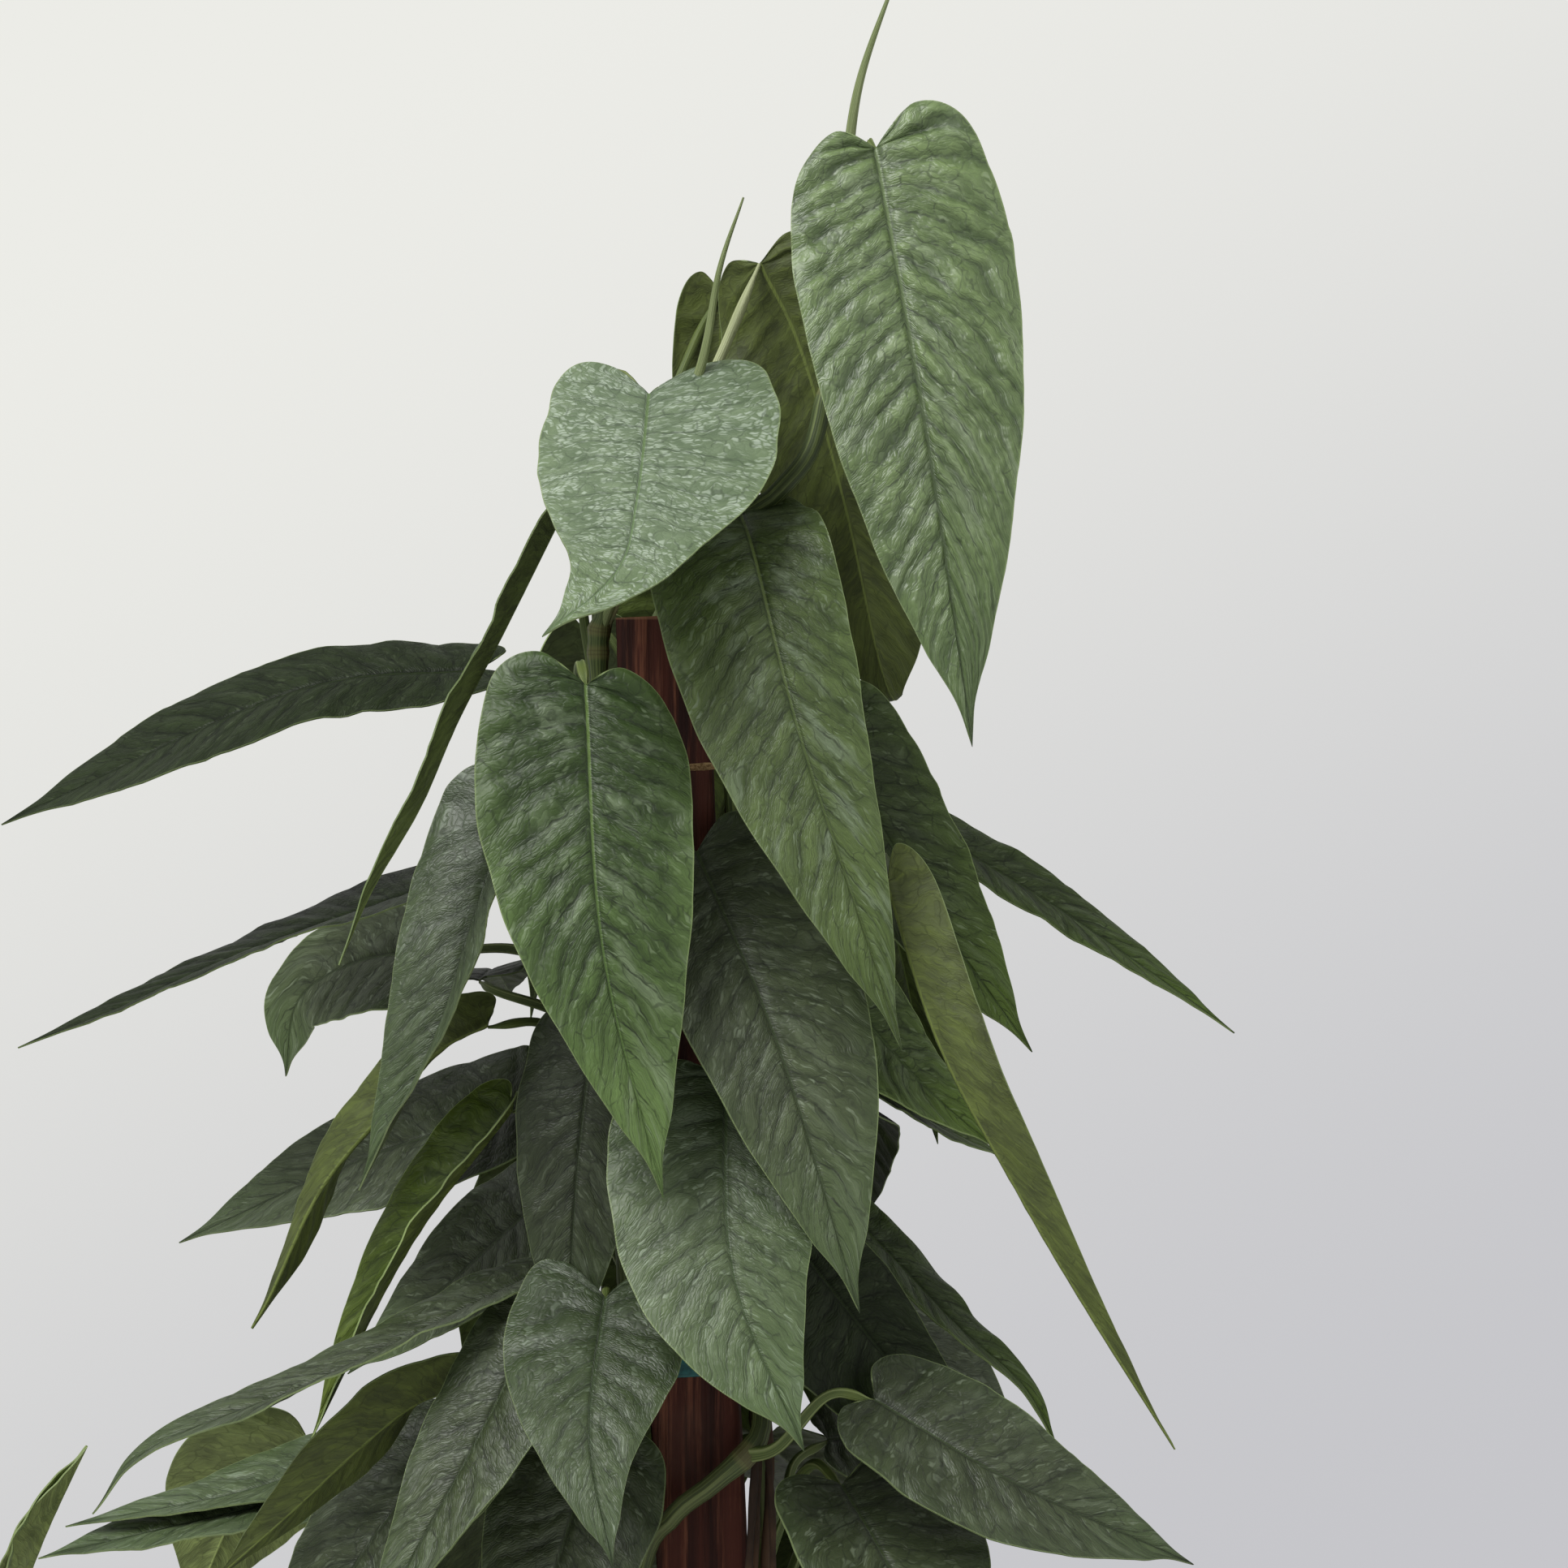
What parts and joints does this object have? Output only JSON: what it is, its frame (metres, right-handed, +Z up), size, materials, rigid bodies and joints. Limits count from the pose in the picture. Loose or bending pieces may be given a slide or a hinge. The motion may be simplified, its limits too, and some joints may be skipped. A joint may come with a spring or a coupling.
{
  "type": "potted climbing plant",
  "caption": "Climbing foliage plant with hanging heart-based leaves, tied to a square wooden stake that stands in a tapered grower's pot.",
  "frame": {"origin": "middle of the pot's flat underside", "axes": "+Z up from the pot to the tip of the plant, -Y to the front, +X to the right seen from the front"},
  "size_m": [0.5349, 0.3336, 1.1922],
  "materials": {
    "leader_vine": "satin, waxy",
    "left_front_vine": "satin, waxy",
    "left_back_vine": "satin, waxy",
    "right_back_vine": "satin, waxy",
    "back_left_vine": "satin, waxy",
    "back_right_vine": "satin, waxy",
    "young_side_vine": "satin, waxy",
    "pot": "matt, moulded",
    "stake": "rough sawn",
    "soil": "crumbly bark mix",
    "upper_tie": "thin twine",
    "middle_tie": "stretchy tape",
    "lower_tie": "stretchy tape"
  },
  "bodies": {
    "root": {"leader_vine": "leader_vine", "left_front_vine": "left_front_vine", "left_back_vine": "left_back_vine", "right_back_vine": "right_back_vine", "back_left_vine": "back_left_vine", "back_right_vine": "back_right_vine", "young_side_vine": "young_side_vine", "pot": "pot", "stake": "stake", "soil": "soil", "upper_tie": "upper_tie", "middle_tie": "middle_tie", "lower_tie": "lower_tie"}
  },
  "joints": []
}
